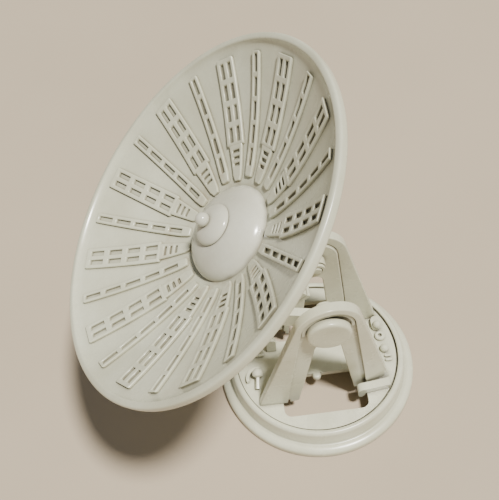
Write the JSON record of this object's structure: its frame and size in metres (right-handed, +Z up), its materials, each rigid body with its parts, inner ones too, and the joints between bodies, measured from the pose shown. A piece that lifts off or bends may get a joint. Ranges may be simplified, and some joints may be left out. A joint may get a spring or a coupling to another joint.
{
  "type": "dish antenna",
  "caption": "Small open dish antenna with moulded ladder panels and a domed feed, tilting between two A-shaped brackets on a turntable in a ring base.",
  "frame": {"origin": "centre of the base ring's underside, on the azimuth axis, where the ring stands", "axes": "+Z up along the azimuth axis; the tilt axis runs along X; at rest the dish looks towards -Y and 48.6 degrees up"},
  "size_m": [0.1, 0.1023, 0.1255],
  "materials": {
    "body_plastic": "warm pale grey, semi-gloss moulding",
    "feed_plastic": "warm pale grey, glossy",
    "steel": "plain"
  },
  "bodies": {
    "base": {"base_ring": "body_plastic", "snap_ring": "steel"},
    "turntable": {"ball_lever": "body_plastic", "box_stud": "body_plastic", "bracket_screw_1": "steel", "bracket_screw_2": "steel", "bracket_screw_3": "steel", "bracket_screw_4": "steel", "cable_box": "body_plastic", "cable_ferrule": "body_plastic", "far_bracket": "body_plastic", "grip_bar_1": "body_plastic", "grip_bar_2": "body_plastic", "latch_bar": "body_plastic", "lever_guard": "body_plastic", "lug_block": "body_plastic", "near_bracket": "body_plastic", "pin_clip_far": "steel", "pin_clip_near": "steel", "round_stud": "body_plastic", "stop_tab": "body_plastic", "trunnion_pin_far": "body_plastic", "trunnion_pin_near": "body_plastic", "turntable_plate": "body_plastic"},
    "dish": {"back_flange": "body_plastic", "feed_dome": "feed_plastic", "feed_tip": "feed_plastic", "fork_crossbar": "body_plastic", "fork_tine_far": "body_plastic", "fork_tine_near": "body_plastic", "housing_cover": "body_plastic", "hub_dome": "feed_plastic", "narrow_panel_01": "body_plastic", "narrow_panel_02": "body_plastic", "narrow_panel_03": "body_plastic", "narrow_panel_04": "body_plastic", "narrow_panel_05": "body_plastic", "narrow_panel_06": "body_plastic", "narrow_panel_07": "body_plastic", "narrow_panel_08": "body_plastic", "narrow_panel_09": "body_plastic", "narrow_panel_10": "body_plastic", "narrow_panel_11": "body_plastic", "receiver_housing": "body_plastic", "reflector": "body_plastic", "wide_panel_01": "body_plastic", "wide_panel_02": "body_plastic", "wide_panel_03": "body_plastic", "wide_panel_04": "body_plastic", "wide_panel_05": "body_plastic", "wide_panel_06": "body_plastic", "wide_panel_07": "body_plastic", "wide_panel_08": "body_plastic", "wide_panel_09": "body_plastic", "wide_panel_10": "body_plastic", "wide_panel_11": "body_plastic"}
  },
  "joints": [
    {"name": "azimuth", "type": "hinge", "parent": "base", "child": "turntable", "pos_m": [0, 0, 0.0074], "axis": [0, 0, 1], "continuous": true},
    {"name": "tilt", "type": "hinge", "parent": "turntable", "child": "dish", "pos_m": [0, 0.0013, 0.049], "axis": [1, 0, 0], "range_deg": [-41, 43]}
  ]
}
